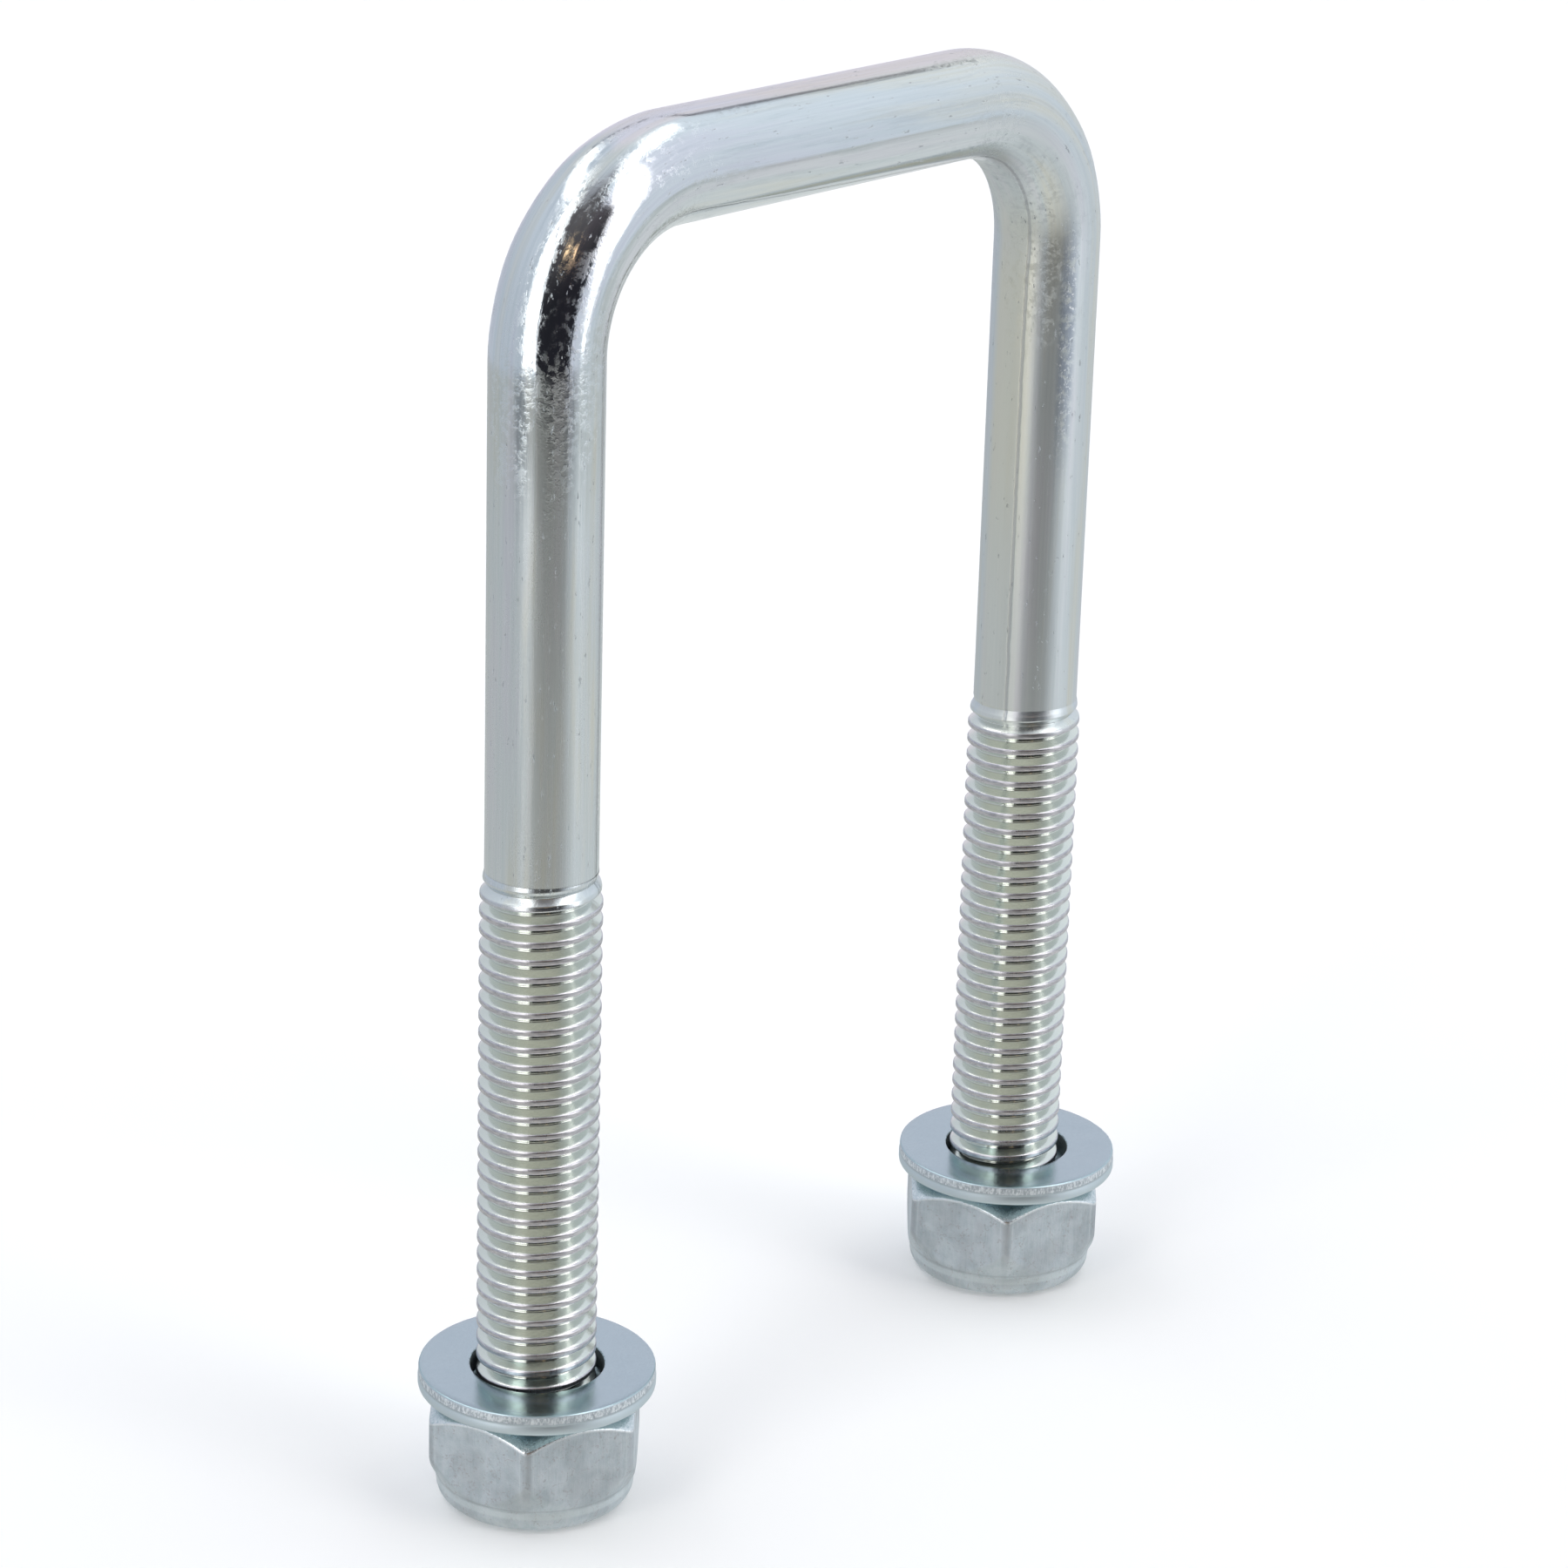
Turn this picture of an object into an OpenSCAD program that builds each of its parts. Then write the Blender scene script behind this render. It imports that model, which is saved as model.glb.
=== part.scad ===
/* [Bar] */
// Distance between the centre lines of the two legs
leg_spacing = 61; // [50:0.5:120]
// Diameter of the plain rod that the bar is bent from
rod_d = 9.1; // [8.8:0.05:9.3]
// Radius of the two bends, to the centre line of the rod
bend_r = 13; // [10:0.5:20]
// Height of the bar, from the tips of the legs to the top of the crown
bar_h = 110; // [90:1:200]

/* [Thread] */
// Diameter over the crests of the thread
thread_d = 9.9; // [9.75:0.01:9.96]
// Diameter over the crests of the first turns, which are rolled slightly small
lead_d = 9.68; // [9.6:0.01:9.72]
// Length of the thread on each leg, from its tip
thread_l = 51; // [30:1:60]
// Length of the cone from the thread down to the plain rod
runout_l = 0.8; // [0.4:0.1:2]
// Height of the chamfer round each leg's tip
tip_chamfer = 0.9; // [0.3:0.1:1.5]
// How far each leg's tip is screwed into its nut
tip_in_nut = 5.85; // [3:0.05:6.2]
// Radial clearance between the thread and what screws or slides over it
running_gap = 0.05; // [0.02:0.01:0.1]

/* [Washers] */
// Outer diameter of a washer
washer_d = 20; // [19.5:0.1:21]
// Diameter of the hole in a washer
washer_hole_d = 11; // [10.6:0.1:11.3]
// Thickness of a washer
washer_t = 1.8; // [1.7:0.05:2.3]
// Size of the small bevel round a washer's edges
washer_bevel = 0.2; // [0.1:0.05:0.4]

/* [Nuts] */
// Width of a nut across its flats
nut_af = 16.8; // [16.7:0.05:17]
// Height of a nut, collar and all
nut_h = 10; // [9.6:0.1:10.4]
// Diameter of the bearing face under the washer
bearing_d = 14.8; // [14:0.1:15.5]
// Depth of the bevel from the bearing face to the corners
top_bevel_h = 1.8; // [1:0.1:2]
// Height at which the corners start to be cut away towards the collar
corner_z = 4.95; // [4.5:0.05:6]
// How much the turned outline takes off the corners, in diameter
corner_cut = 0.1; // [0.05:0.05:0.3]
// Diameter of the collar, where the hexagon meets it
collar_d = 16.6; // [16:0.1:16.65]
// Height of the collar
collar_h = 2.1; // [1.6:0.1:2.4]
// Radius round the collar's lower edge
collar_round = 1.4; // [0.8:0.1:1.5]
// How much the collar's wall narrows on its way down to that edge, in radius
collar_taper = 0.1; // [0.05:0.05:0.3]
// Diameter of the opening in the rolled lip of the collar
lip_d = 11.8; // [11:0.1:12.4]
// Thickness of the rolled lip
lip_h = 0.8; // [0.6:0.1:1]
// Countersink at the mouth of the nut's thread
mouth_bevel = 0.5; // [0.3:0.1:0.8]
// Turn of the left nut about its leg
left_nut_turn = 40; // [0:1:60]
// Turn of the right nut about its leg
right_nut_turn = 42; // [0:1:60]

/* [Nylon rings] */
// Outer diameter of a ring
ring_d = 13.6; // [13:0.1:14]
// Height of a ring
ring_h = 2.5; // [2.2:0.1:2.6]

/* [Hidden] */
leg_x = leg_spacing / 2;
tip_z = nut_h - tip_in_nut;
crown_z = tip_z + bar_h - rod_d / 2;
bend_z = crown_z - bend_r;
thread_top_z = tip_z + thread_l;
washer_z = nut_h;
seat_z = washer_z + washer_t;
// The bore of nuts and rings clears the thread's crests all the way up
bore_d = thread_d + 2 * running_gap;
// Corners of the hexagon
corner_d = nut_af / cos(30);
// The corners are touched by a slightly smaller turned outline
turned_d = corner_d - corner_cut;
// Clearance of a ring in its groove
ring_gap = 0.03;
groove_d = ring_d + 2 * ring_gap;
groove_h = ring_h + 2 * ring_gap;
round_fn = 96;
zinc = [0.78, 0.82, 0.84];
satin_zinc = [0.72, 0.77, 0.80];
dull_zinc = [0.68, 0.71, 0.73];
nylon = [0.90, 0.91, 0.88];

// Points of an arc about (x, z), from angle a0 to a1
function arc(x, z, r, a0, a1, steps = 6) =
    [for (i = [0:steps]) let (a = a0 + (a1 - a0) * i / steps) [x + r * cos(a), z + r * sin(a)]];

// Solid of revolution about Z from a list of [radius, height] points
module turned(points) {
    rotate_extrude($fn = round_fn) polygon(points);
}

// One leg, standing on its own axis: chamfered tip, thread, run-out cone and plain rod
module leg() {
    thread_r = thread_d / 2;
    lead_r = lead_d / 2;
    rod_r = rod_d / 2;
    turned([
        [0, tip_z], [lead_r - tip_chamfer, tip_z], [lead_r, tip_z + tip_chamfer],
        [lead_r, seat_z], [thread_r, seat_z],
        [thread_r, thread_top_z], [rod_r, thread_top_z + runout_l],
        [rod_r, bend_z], [0, bend_z]
    ]);
}

// A quarter turn of rod, from the top of the right leg to the crown
module bend() {
    translate([leg_x - bend_r, 0, bend_z])
        rotate([90, 0, 0])
            rotate_extrude(angle = 90, $fn = round_fn)
                translate([bend_r, 0]) circle(d = rod_d, $fn = round_fn);
}

module half_bar() {
    translate([leg_x, 0, 0]) leg();
    bend();
}

module u_bar() {
    color(zinc) {
        half_bar();
        mirror([1, 0, 0]) half_bar();
        translate([0, 0, crown_z])
            rotate([0, 90, 0])
                cylinder(d = rod_d, h = leg_spacing - 2 * bend_r, center = true, $fn = round_fn);
    }
}

// Flat stamped washer with its edges slightly bevelled
module washer(side) {
    r_in = washer_hole_d / 2;
    r_out = washer_d / 2;
    b = washer_bevel;
    color(satin_zinc)
        translate([side * leg_x, 0, washer_z])
            turned([
                [r_in, b], [r_in + b, 0], [r_out - b, 0], [r_out, b],
                [r_out, washer_t - b], [r_out - b, washer_t],
                [r_in + b, washer_t], [r_in, washer_t - b]
            ]);
}

// Outline of the nut as it is turned: collar below, bevelled corners, bearing face on top
module nut_outline() {
    collar_r = collar_d / 2;
    turned(concat(
        [[0, 0]],
        arc(collar_r - collar_taper - collar_round, collar_round, collar_round, -90, 0),
        [
            [collar_r, collar_h], [turned_d / 2, corner_z],
            [turned_d / 2, nut_h - top_bevel_h], [bearing_d / 2, nut_h], [0, nut_h]
        ]
    ));
}

// What is cut out of the nut: the lip's opening, the ring's groove and the threaded bore
module nut_bore() {
    bore_r = bore_d / 2;
    past = 1;
    turned([
        [0, -past], [lip_d / 2, -past], [lip_d / 2, lip_h],
        [groove_d / 2, lip_h], [groove_d / 2, lip_h + groove_h],
        [bore_r, lip_h + groove_h], [bore_r, nut_h - mouth_bevel],
        [bore_r + mouth_bevel, nut_h], [bore_r + mouth_bevel, nut_h + past], [0, nut_h + past]
    ]);
}

module nut(side, turn) {
    color(dull_zinc)
        translate([side * leg_x, 0, 0])
            difference() {
                intersection() {
                    rotate([0, 0, turn]) cylinder(d = corner_d, h = nut_h, $fn = 6);
                    nut_outline();
                }
                nut_bore();
            }
}

// Nylon ring held in the collar's groove
module nylon_ring(side) {
    r_in = bore_d / 2;
    r_out = ring_d / 2;
    color(nylon)
        translate([side * leg_x, 0, lip_h + ring_gap])
            turned([[r_in, 0], [r_out, 0], [r_out, ring_h], [r_in, ring_h]]);
}

module left_washer() washer(-1);
module right_washer() washer(1);
module left_nut() nut(-1, left_nut_turn);
module right_nut() nut(1, right_nut_turn);
module left_nylon_ring() nylon_ring(-1);
module right_nylon_ring() nylon_ring(1);

u_bar();
left_washer();
right_washer();
left_nut();
right_nut();
left_nylon_ring();
right_nylon_ring();
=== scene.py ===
"""Looks of the U-bolt: a bent zinc-plated bar with rolled threads, two washers and two lock nuts.

Everything is in metres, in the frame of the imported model. Z is up and X runs from leg to leg.
"""

import math
from types import SimpleNamespace

import bmesh
import bpy
import numpy as np
from mathutils import Matrix, Vector, noise


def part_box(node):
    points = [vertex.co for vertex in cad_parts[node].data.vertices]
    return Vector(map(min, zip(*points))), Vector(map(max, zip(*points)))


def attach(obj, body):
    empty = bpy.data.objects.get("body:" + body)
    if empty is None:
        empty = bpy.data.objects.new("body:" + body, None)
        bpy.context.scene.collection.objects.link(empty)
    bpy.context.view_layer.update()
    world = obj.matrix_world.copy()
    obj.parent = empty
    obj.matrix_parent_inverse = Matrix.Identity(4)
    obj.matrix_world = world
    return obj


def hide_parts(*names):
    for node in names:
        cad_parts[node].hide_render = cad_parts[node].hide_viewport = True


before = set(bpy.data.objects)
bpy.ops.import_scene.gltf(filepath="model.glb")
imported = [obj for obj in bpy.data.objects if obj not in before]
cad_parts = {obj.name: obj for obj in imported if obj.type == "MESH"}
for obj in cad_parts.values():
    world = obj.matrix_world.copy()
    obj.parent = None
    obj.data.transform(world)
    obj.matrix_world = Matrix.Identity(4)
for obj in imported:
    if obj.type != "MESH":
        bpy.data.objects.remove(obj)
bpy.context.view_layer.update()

MM = 0.001
TURN = 2 * math.pi
SIDES = ("left", "right")

SHARP_ANGLE = math.radians(50)  # edges sharper than this stay sharp

# Bar
ROD_R = 4.55 * MM
BEND_R = 13.0 * MM
COLUMNS = 72  # faces round the bar
RING_STEP = 0.8 * MM  # between rings of the plain rod
DRAW_WAVE = 0.008 * MM  # unevenness of the drawn rod
BEND_FLAT = 0.045 * MM  # flats that the bending tool leaves round the outside of each bend
BEND_FLATS = 3
SETTLE_L = 4.0 * MM  # height over which the unevenness of the rod grows, above the thread

# Thread
PITCH = 1.5 * MM
THREAD_L = 51.0 * MM
THREAD_FROM = 79.4  # where it starts, in mm along the rod from the middle of the crown
CREST_R = 4.94 * MM
ROOT_R = 4.12 * MM
CREST_HALF = 0.24 * MM  # half the width of the crest
ROOT_HALF = 0.05 * MM  # half the width of the root
CREST_DIP = 0.022 * MM  # fold that rolling leaves along the middle of the crest
CREST_WAVE = 0.016 * MM  # unevenness of the crest
FLANK_SOFT = 0.05  # share of a flank between its rounded end and the edge loop that keeps it flat
TIP_CHAMFER = 0.9 * MM
CREST_SHIFT = {"left": 0.44 * MM, "right": -0.15 * MM}  # of the crests, up the leg
LEAD_R = 4.84 * MM  # crest at the chamfered tip
RUNOUT_L = 2.4 * MM  # height over which the thread grows out of the plain rod

# Thread inside a nut
NUT_ROOT_R = 5.0 * MM
NUT_CREST_R = 4.3 * MM
NUT_ROOT_HALF = 0.27 * MM
NUT_CREST_HALF = 0.07 * MM
THREAD_FADE = 1.6  # slope at which the nut's thread fades out at both ends

# Washers
WASHER_R = 9.8 * MM
WASHER_HOLE_R = 5.5 * MM
WASHER_T = 1.8 * MM
WASHER_OFFSET = {  # where each loose washer has slipped to
    "left": Vector((-0.08, -0.2, 0)) * MM,
    "right": Vector((0.2, -0.2, 0)) * MM,
}
WASHER_COLUMNS = 192
RIM_ROLL = 0.3 * MM  # rounding of the rim's lower edge
BURR = 0.14 * MM  # rounding of the other edges
TORN_DEPTH = 0.05 * MM  # of the torn upper half of the rim

# Nuts
HEX_STEP = TURN / 6
NUT_AF = 16.8 * MM
BEARING_R = 7.4 * MM
BEVEL_H = 1.8 * MM
CORNER_Z = 4.95 * MM
COLLAR_R = 8.3 * MM
COLLAR_H = 2.1 * MM
COLLAR_ROUND = 1.4 * MM
COLLAR_TAPER = 0.1 * MM  # how much narrower the collar is at its rounding
SHOULDER_H = 0.12 * MM  # small step where the collar meets the hexagon
SHOULDER_DROP = 0.03 * MM
SHOULDER_R = COLLAR_R - 0.05 * MM
LIP_R = 5.9 * MM
LIP_H = 0.8 * MM
LIP_BEVEL = 0.25 * MM
GROOVE_R = 6.83 * MM
GROOVE_TOP = 3.36 * MM
MOUTH_BEVEL = 0.5 * MM
CORNER_ANGLES = (-30, -24, -18, -12, -7, -4, -2.4, -1.4, -0.7, 0, 0.7, 1.4, 2.4, 4, 7, 12, 18, 24)
EDGE_SOFT = 0.14 * MM  # rounding of the curved edges of the bevels
EDGE_STRIP_W = 0.32 * MM  # width of the strip along those edges that takes the painted highlight
CORNER_SHEEN_BELOW = 2.0 * MM  # how far the painted reflections on the corners reach below CORNER_Z
CORNER_SHEEN_TOP = 0.7 * MM  # and how far below the nut's top they end
CORNER_POWER = 50  # how sharp the rounded corners of the hexagon are
NUT_TURN = {"left": math.radians(40), "right": math.radians(42)}

# Nylon rings
NYLON_R = 4.98 * MM  # inside
NYLON_SOFT = 0.3 * MM

# Camera
VIEW_AZIMUTH = math.radians(-49.04)
VIEW_ELEVATION = math.radians(20.02)
VIEW_ROLL = math.radians(1.71)
VIEW_TARGET = Vector((-1.585, 0, 54.91)) * MM
VIEW_DISTANCE = 391.0 * MM
LENS = 107.57
SENSOR = 36.0

# Studio: elevations in degrees, and the colours of its light
PANEL_LOW, PANEL_HIGH = -12.0, 68
OPENING_LOW, OPENING_HIGH = -16.8, 66
PANEL_LIGHT = (2.4, 2.4, 2.4)
HOOP_LIGHT = (2.2, 2.2, 2.2)
LAMP_LIGHT = (1.9, 1.3, 0.75)
LAMPS = ((17, 32), (2, 39))  # azimuth and elevation of each
BACKDROP = (0.93, 0.94, 0.95)
FLOOR_SIZE = 6.0
FLOOR_GAP = 0.02 * MM


# ---------------------------------------------------------------- mesh helpers


def smooth(value, low, high):
    """0 below low, 1 above high, and an S-curve between them."""
    t = min(1.0, max(0.0, (value - low) / (high - low)))
    return t * t * (3 - 2 * t)


def arc(x, z, r, start, end, steps=6):
    """Points of an arc about (x, z), from angle start to end in degrees."""
    angles = [math.radians(start + (end - start) * i / steps) for i in range(steps + 1)]
    return [(x + r * math.cos(a), z + r * math.sin(a)) for a in angles]


def make_piece(name, bm, material, body, node):
    """Turns a bmesh into a smooth-shaded piece that rides on a body and stands for a CAD node."""
    bmesh.ops.remove_doubles(bm, verts=bm.verts, dist=0.0005 * MM)
    bmesh.ops.recalc_face_normals(bm, faces=bm.faces)
    for edge in bm.edges:
        edge.smooth = edge.calc_face_angle(0) < SHARP_ANGLE
    mesh = bpy.data.meshes.new(name)
    bm.to_mesh(mesh)
    bm.free()
    mesh.polygons.foreach_set("use_smooth", [True] * len(mesh.polygons))
    mesh.materials.append(material)
    piece = bpy.data.objects.new(name, mesh)
    bpy.context.scene.collection.objects.link(piece)
    weighted = piece.modifiers.new("weighted_normals", "WEIGHTED_NORMAL")
    weighted.keep_sharp = True
    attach(piece, body)
    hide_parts(node)
    return piece


def store(piece, name, values, kind="FLOAT", field="value"):
    """Writes one value for each vertex, for a material to read."""
    piece.data.attributes.new(name, kind, "POINT").data.foreach_set(field, values)


def ring(bm, points):
    """Adds one closed ring of vertices."""
    return [bm.verts.new(p) for p in points]


def bridge(bm, lower, upper):
    """Joins two rings of equal length with quads."""
    count = len(lower)
    for j in range(count):
        k = (j + 1) % count
        bm.faces.new((lower[j], lower[k], upper[k], upper[j]))


def cap(bm, edge_ring, centre):
    """Closes a ring with a fan of triangles about a centre point."""
    middle = bm.verts.new(centre)
    count = len(edge_ring)
    for j in range(count):
        bm.faces.new((edge_ring[j], edge_ring[(j + 1) % count], middle))


def even_angles(count):
    return [TURN * j / count for j in range(count)]


def turned_rings(bm, axis, points, angles):
    """Rings of a solid of revolution about a vertical axis, one for each (radius, height)."""
    return [
        ring(bm, [(axis.x + r * math.cos(a), axis.y + r * math.sin(a), z) for a in angles])
        for r, z in points
    ]


def join_rings(bm, rings, closed=False):
    for lower, upper in zip(rings, rings[1:]):
        bridge(bm, lower, upper)
    if closed:
        bridge(bm, rings[-1], rings[0])


# ---------------------------------------------------------------- threads


def ridge_profile(crest_r, root_r, crest_half, root_half, dip=0.0):
    """One pitch of a thread as (offset, radius), from one crest's middle to the next one's.

    The crest and the root may lie on either side, so the same profile serves a nut."""
    rise = crest_r - root_r
    half = [
        (0, crest_r - dip),
        (0.45 * crest_half, crest_r),
        (0.75 * crest_half, crest_r - 0.02 * rise),
        (crest_half, crest_r - 0.08 * rise),
    ]
    flank_start, flank_end = crest_half, PITCH / 2 - root_half
    for share in (FLANK_SOFT, 1 - FLANK_SOFT):
        offset = flank_start + (flank_end - flank_start) * share
        half.append((offset, crest_r - rise * (0.08 + 0.87 * share)))
    half += [
        (flank_end, crest_r - 0.95 * rise),
        (PITCH / 2 - root_half / 2, crest_r - 0.99 * rise),
    ]
    mirrored = [(PITCH - offset, r) for offset, r in reversed(half[1:])]
    return half + [(PITCH / 2, root_r)] + mirrored


def shifted(profile, shift):
    """The same profile, started further up or down the thread."""
    return sorted(((offset - shift) % PITCH, r) for offset, r in profile)


def helical_rows(bm, axis, profile, low, high, angles, shape):
    """A right-hand thread about a vertical axis, cut off square at both ends.

    Its rows of vertices follow the helix. shape(angle, z, r) gives the final radius. Returns the
    lowest and highest ring. Vertices past an end are moved onto it and merged."""
    offsets = np.array([p[0] for p in profile])
    radii = np.array([p[1] for p in profile])
    rows_per_turn = len(profile)
    turns = math.ceil((high - low) / PITCH) + 3
    base = low - PITCH * (2 + angles[0] / TURN % 1)
    grid = []
    ends = ([None] * len(angles), [None] * len(angles))
    for k in range(turns * rows_per_turn + 1):
        row_offset = PITCH * (k // rows_per_turn) + offsets[k % rows_per_turn]
        row = []
        for j, angle in enumerate(angles):
            z = base + row_offset + PITCH * (angle / TURN)
            end = 0 if z <= low else 1 if z >= high else None
            if end is not None and ends[end][j] is not None:
                row.append(ends[end][j])
                continue
            z = min(max(z, low), high)
            phase = (z - base - PITCH * angle / TURN) % PITCH
            r = shape(angle, z, float(np.interp(phase, [*offsets, PITCH], [*radii, radii[0]])))
            vertex = bm.verts.new((axis.x + r * math.cos(angle), axis.y + r * math.sin(angle), z))
            if end is not None:
                ends[end][j] = vertex
            row.append(vertex)
        grid.append(row)
    join_helix(bm, grid, rows_per_turn)
    return ends


def join_helix(bm, grid, rows_per_turn):
    """Adds the faces between the rows. The last column meets the first one a turn further on."""
    last = len(grid[0]) - 1
    for k in range(len(grid) - 1):
        further = k + rows_per_turn
        for j in range(last + 1):
            if j < last:
                corners = (grid[k][j], grid[k][j + 1], grid[k + 1][j + 1], grid[k + 1][j])
            elif further + 1 < len(grid):
                corners = (grid[k][j], grid[further][0], grid[further + 1][0], grid[k + 1][j])
            else:
                continue
            distinct = list(dict.fromkeys(corners))
            if len(distinct) > 2:
                bm.faces.new(distinct)


# ---------------------------------------------------------------- bar


def leg_axis(side):
    low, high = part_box(f"{side}_nylon_ring")
    return (low + high) / 2


def bar_path(leg_x, start_z, crown_z):
    """Rings of the plain rod as (centre, outward direction, length along the rod)."""
    bend_z = crown_z - BEND_R
    corner_x = leg_x - BEND_R
    leg_l, bend_l, crown_l = bend_z - start_z, BEND_R * math.pi / 2, 2 * corner_x
    stops = np.cumsum([0, leg_l, bend_l, crown_l, bend_l, leg_l])
    path = []
    for first, last in zip(stops, stops[1:]):
        steps = max(2, round((last - first) / RING_STEP))
        path += [first + (last - first) * i / steps for i in range(steps)]
    path.append(stops[-1])
    rings = []
    for s in path:
        side = -1 if s <= stops[-1] / 2 else 1
        near = min(s, stops[-1] - s)
        if near <= leg_l:
            centre, out = Vector((side * leg_x, 0, start_z + near)), Vector((side, 0, 0))
        elif near <= leg_l + bend_l:
            a = (near - leg_l) / BEND_R
            out = Vector((side * math.cos(a), 0, math.sin(a)))
            centre = Vector((side * corner_x, 0, bend_z)) + out * BEND_R
        else:
            centre = Vector((side * (corner_x - (near - leg_l - bend_l)), 0, crown_z))
            out = Vector((0, 0, 1))
        rings.append((centre, out, s))
    return rings


def bar_leg(bm, axis, tip_z, top_z, crest_shift):
    """The threaded end of one leg. Returns its top ring."""

    def shape(angle, z, r):
        seed = Vector((math.cos(angle) * 3, math.sin(angle) * 3, z / MM * 1.3 + axis.x / MM))
        if r > 0.97 * CREST_R:
            r -= CREST_WAVE * (0.5 + 0.5 * noise.noise(seed * 2.3))
        r = ROD_R + (r - ROD_R) * smooth(top_z - z, -0.2 * RUNOUT_L, RUNOUT_L)
        return min(r, LEAD_R - TIP_CHAMFER + (z - tip_z))

    profile = ridge_profile(CREST_R, ROOT_R, CREST_HALF, ROOT_HALF, CREST_DIP)
    profile = shifted(profile, -crest_shift)
    bottom, top = helical_rows(bm, axis, profile, tip_z, top_z, even_angles(COLUMNS), shape)
    cap(bm, bottom, (axis.x, axis.y, tip_z))
    return top


def store_rod_coordinates(piece, leg_x, crown_z):
    """Writes each vertex's place on the straightened rod, in millimetres, for the material.

    Its third coordinate is the length along the rod from the middle of the crown."""
    bend_z, corner_x = crown_z - BEND_R, leg_x - BEND_R
    points = []
    for v in piece.data.vertices:
        x, y, z = v.co
        side = -1 if x < 0 else 1
        dx, dz = abs(x) - corner_x, z - bend_z
        if dz <= 0:
            across, along = dx - BEND_R, corner_x + BEND_R * math.pi / 2 - dz
        elif dx <= 0:
            across, along = dz - BEND_R, corner_x + dx
        else:
            across = math.hypot(dx, dz) - BEND_R
            along = corner_x + BEND_R * math.atan2(dx, dz)
        points += [across / MM, y / MM, side * along / MM]
    store(piece, "rod", points, "FLOAT_VECTOR", "vector")


def bend_flat(out, angle):
    """Depth of the tool's flats at a ring that faces out, at an angle round the rod."""
    along = math.asin(min(1.0, max(0.0, out.z))) / (math.pi / 2)
    outer = max(0.0, math.cos(angle)) ** 0.5
    return BEND_FLAT * outer * (0.5 - 0.5 * math.cos(TURN * BEND_FLATS * along))


def make_bar(material):
    low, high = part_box("u_bar")
    leg_x = leg_axis("right").x
    crown_z = high.z - ROD_R
    top_z = low.z + THREAD_L
    bm = bmesh.new()
    for side in SIDES:
        bar_leg(bm, Vector((leg_axis(side).x, 0, 0)), low.z, top_z, CREST_SHIFT[side])
    rings = []
    for centre, out, s in bar_path(leg_x, top_z, crown_z):
        points = []
        for a in even_angles(COLUMNS):
            across = out * math.cos(a) + Vector((0, 1, 0)) * math.sin(a)
            seed = Vector((math.cos(a) * 2.2, math.sin(a) * 2.2, s / MM * 0.09))
            settled = smooth(centre.z - top_z, 0, SETTLE_L)
            dent = DRAW_WAVE * settled * (1 + noise.noise(seed)) + bend_flat(out, a)
            points.append(centre + across * (ROD_R - dent))
        rings.append(ring(bm, points))
    join_rings(bm, rings)
    piece = make_piece("bent_bar", bm, material, "bar", "u_bar")
    store_rod_coordinates(piece, leg_x, crown_z)


# ---------------------------------------------------------------- washers, nuts and rings


def make_washer(side, material):
    low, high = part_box(f"{side}_washer")
    axis = Vector(((low.x + high.x) / 2, (low.y + high.y) / 2, 0)) + WASHER_OFFSET[side]
    top, bottom = low.z + WASHER_T, low.z
    roll, burr, torn = RIM_ROLL, BURR, TORN_DEPTH
    outline = (
        arc(WASHER_HOLE_R + burr, bottom + burr, burr, 180, 270, 2)
        + arc(WASHER_R - roll, bottom + roll, roll, 270, 360, 4)
        + [(WASHER_R, bottom + 0.45 * WASHER_T), (WASHER_R - torn, bottom + 0.55 * WASHER_T)]
        + [(WASHER_R - 0.6 * torn, bottom + 0.72 * WASHER_T)]
        + arc(WASHER_R - 0.8 * torn - burr, top - burr, burr, 0, 90, 3)
        + [(WASHER_R - 3 * roll, top), (WASHER_HOLE_R + 2 * burr, top)]
        + arc(WASHER_HOLE_R + burr, top - burr, burr, 90, 180, 3)
    )
    bm = bmesh.new()
    rings = turned_rings(bm, axis, outline, even_angles(WASHER_COLUMNS))
    join_rings(bm, rings, closed=True)
    for v in bm.verts:
        out = Vector((v.co.x - axis.x, v.co.y - axis.y, 0))
        if out.length > WASHER_R - 1.5 * burr and v.co.z > bottom + WASHER_T / 2:
            wave = noise.noise(Vector((out.x, out.y, v.co.z * 0.6)) / MM * 2.1)
            v.co -= out.normalized() * 0.9 * torn * (0.5 + 0.5 * wave)
    piece = make_piece(
        f"washer_{side}", bm, material, f"{side}_washer", f"{side}_washer"
    )
    # marks the hole's wall, which the material darkens with a painted shade
    inside = [math.hypot(v.co.x - axis.x, v.co.y - axis.y) for v in piece.data.vertices]
    store(piece, "hole", [1.0 if r < WASHER_HOLE_R + 0.5 * burr else 0.0 for r in inside])


def nut_angles(turn):
    """Angles of a nut's columns of vertices, closer together at its corners."""
    return [
        turn + math.radians(60 * corner + offset) for corner in range(6) for offset in CORNER_ANGLES
    ]


def from_corner(angle):
    """Angle from the nearest corner of a hexagon, given the angle from one of them."""
    return (angle + HEX_STEP / 2) % HEX_STEP - HEX_STEP / 2


def nut_slopes(turned_r):
    """Slopes of the cone below the hexagon and of the bevel above it."""
    return (CORNER_Z - COLLAR_H) / (turned_r - COLLAR_R), BEVEL_H / (turned_r - BEARING_R)


def hexagon_radius(angle):
    """Radius of a hexagon with rounded corners, at an angle from one of them."""
    near = from_corner(angle)
    sides = [math.cos(near + side * HEX_STEP / 2) ** CORNER_POWER for side in (-1, 1)]
    return NUT_AF / 2 / sum(sides) ** (1 / CORNER_POWER)


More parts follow.
